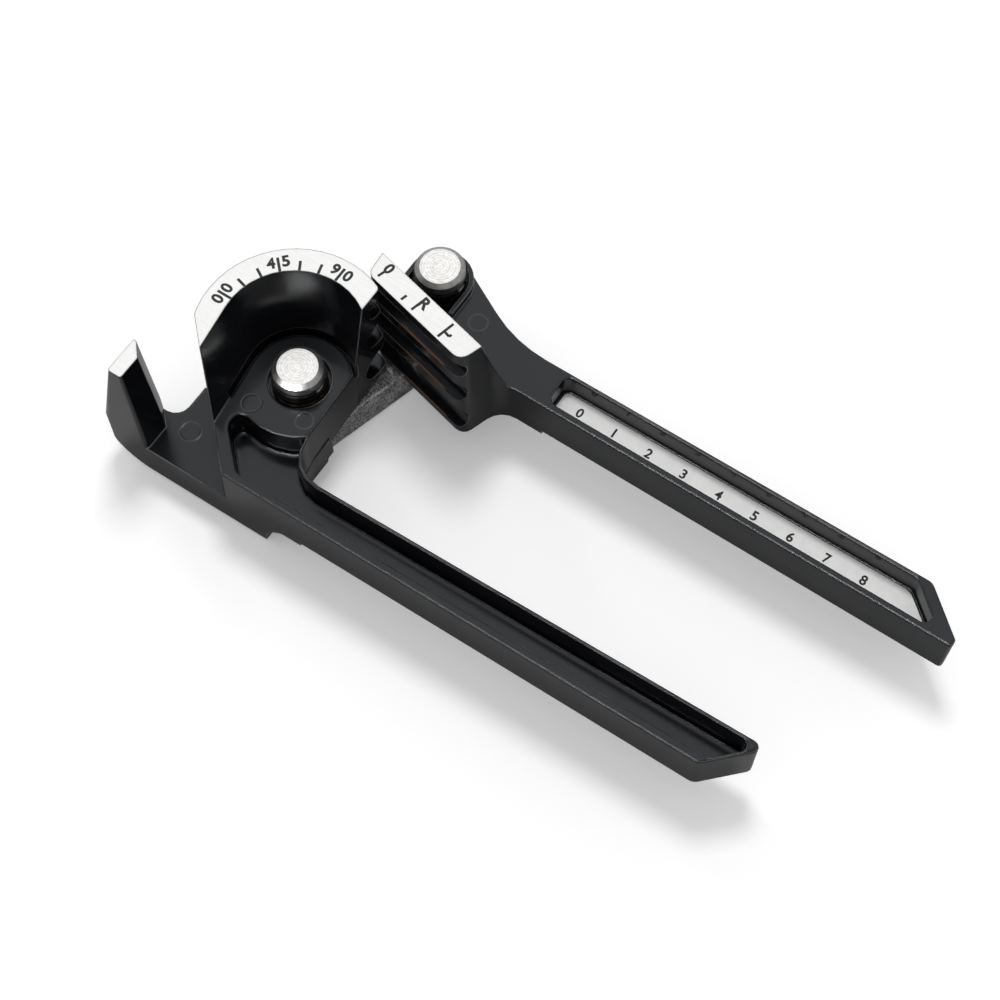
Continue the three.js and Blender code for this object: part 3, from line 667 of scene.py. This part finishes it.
bpy.ops.object.select_all(action="DESELECT")
bpy.ops.mesh.primitive_plane_add(size=1)
sheet = bpy.context.object
bpy.ops.object.mode_set(mode="EDIT")
mesh = bmesh.from_edit_mesh(sheet.data)
corners = sorted(mesh.verts, key=lambda v: math.atan2(v.co.y, v.co.x))
for corner, (x, y) in zip(corners, strip["outline"]):
    corner.co = Vector((x * mm, y * mm, strip["floor"] * mm))
bmesh.update_edit_mesh(sheet.data)
bpy.ops.mesh.select_all(action="SELECT")
bpy.ops.mesh.bevel(offset=strip["cornerRound"] * mm, segments=strip["cornerSteps"], affect="VERTICES")
bpy.ops.mesh.select_all(action="SELECT")
bpy.ops.mesh.extrude_region_move(TRANSFORM_OT_translate={"value": (0, 0, strip["thick"] * mm)})
bpy.ops.mesh.select_all(action="SELECT")
bpy.ops.mesh.normals_make_consistent(inside=False)
bpy.ops.object.mode_set(mode="OBJECT")
stripPiece = joined([sheet], "scale_strip", vinyl)
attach(stripPiece, "shoe_lever")

parts = []
printTop = strip["floor"] + strip["thick"] + strip["printProud"]
for index in range(strip["numbers"]):
    x = strip["firstNumber"] + index * strip["numberStep"]
    line = strip["numberLine"] - (x - strip["firstNumber"]) * strip["numberSlope"]
    parts.append(glyph(str(index), (x, line), strip["numberWide"], strip["numberTall"], 0,
                       printTop, strip["printThick"], strip["numberWeight"]))
stripMarks = joined(parts, "strip_marks", ink)
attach(stripMarks, "shoe_lever")
print("strip made")

# floor, world and lamps, in metres and watts; a lamp lights the object, is mirrored in it, or both
studio = {
    "floorSize": 40,
    "floorPlace": (0.06, 0, -0.0002),  # just under the object
    "floorSeen": "#ffffff",
    "floorBounce": "#c0c0c0",
    "cameraLift": 0.2,
    "ambient": 0.67,
    "backdrop": 1.0,
    "sideGloss": 0.35,
    "topGloss": 1.7,
    "boxDirection": (-0.25, 0.37, 0.89),
    "boxSpan": (0.55, 0.95),
    "aim": (0.055, 0.01, 0.01),
}
lamps = {
    "key": {
        "place": (-0.08, 0.24, 0.85), "wide": 0.24, "deep": 0.24, "watts": 2.8,
        "lights": True, "mirrored": False,
    },
    "rim": {
        "place": (-0.55, 0.25, 0.60), "wide": 0.12, "deep": 0.12, "watts": 0.3,
        "lights": True, "mirrored": True,
    },
    "near": {
        "place": (0.04, -0.46, 0.50), "wide": 0.6, "deep": 0.1, "watts": 4.2,
        "lights": False, "mirrored": True,
    },
}

# the camera sees white paper with a little lift, and the object gets the light of a greyer floor
bpy.ops.object.select_all(action="DESELECT")
bpy.ops.mesh.primitive_plane_add(size=studio["floorSize"], location=studio["floorPlace"])
floor = bpy.context.object
floor.name = "studio_floor"
bpy.ops.object.transform_apply(location=True, rotation=True, scale=True)
paper = newMaterial("paperFloor")
seen = addNode(paper, "LightPath").outputs["Is Camera Ray"]
colours = {0: seen, 6: linearColour(studio["floorBounce"]), 7: linearColour(studio["floorSeen"])}
paperColour = addNode(paper, "Mix", colours, data_type="RGBA").outputs[2]
matt = addNode(paper, "BsdfDiffuse", {"Color": paperColour})
lift = addNode(paper, "Math", [seen, studio["cameraLift"]], operation="MULTIPLY")
shine = addNode(paper, "Emission", {"Strength": lift})
both = addNode(paper, "AddShader", [matt, shine])
addNode(paper, "OutputMaterial", {"Surface": both})
floor.data.materials.append(paper)

# the world is an even grey for diffuse light, white for the camera, and for reflections a large box
# overhead that fades to a dimmer room
world = bpy.data.worlds.new("studioWorld")
bpy.context.scene.world = world
world.use_nodes = True
world.node_tree.nodes.clear()
path = addNode(world, "LightPath")
towards = addNode(world, "TexCoord").outputs["Generated"]
facing = addNode(world, "VectorMath", [towards, studio["boxDirection"]], operation="DOT_PRODUCT")
facing = facing.outputs["Value"]
box = addNode(world, "MapRange", [facing, *studio["boxSpan"]], interpolation_type="SMOOTHSTEP")
mirrored = addNode(world, "Mix", {0: box, 2: studio["sideGloss"], 3: studio["topGloss"]})
plain = addNode(world, "Mix", {
    0: path.outputs["Is Camera Ray"], 2: studio["ambient"], 3: studio["backdrop"],
})
strength = addNode(world, "Mix", {0: path.outputs["Is Glossy Ray"], 2: plain, 3: mirrored})
sky = addNode(world, "Background", {"Strength": strength})
addNode(world, "OutputWorld", {"Surface": sky})


def turnTowards(place, target):
    # turns a lamp or camera at place to look at target
    return (Vector(target) - Vector(place)).to_track_quat("-Z", "Y").to_euler()


for name, look in lamps.items():
    lamp = bpy.data.lights.new(name, "AREA")
    lamp.shape = "ELLIPSE"
    lamp.size = look["wide"]
    lamp.size_y = look["deep"]
    lamp.energy = look["watts"]
    holder = bpy.data.objects.new(name, lamp)
    bpy.context.scene.collection.objects.link(holder)
    holder.location = look["place"]
    holder.rotation_euler = turnTowards(look["place"], studio["aim"])
    holder.visible_diffuse = look["lights"]
    holder.visible_glossy = look["mirrored"]

# the photograph's viewing angle: places in metres, lens and sensor in mm
shot = {
    "place": (0.169987, -0.168307, 0.437436),
    "target": (0.05452, 0.006144, 0.0104),
    "nearest": 0.01,
    "lens": 69.66,
    "sensor": 36,
}
cameraData = bpy.data.cameras.new("camera")
cameraData.lens = shot["lens"]
cameraData.sensor_width = shot["sensor"]
cameraData.clip_start = shot["nearest"]
camera = bpy.data.objects.new("camera", cameraData)
bpy.context.scene.collection.objects.link(camera)
camera.location = shot["place"]
camera.rotation_euler = turnTowards(shot["place"], shot["target"])
bpy.context.scene.camera = camera
bpy.context.scene.view_settings.view_transform = "Standard"
print("studio made")
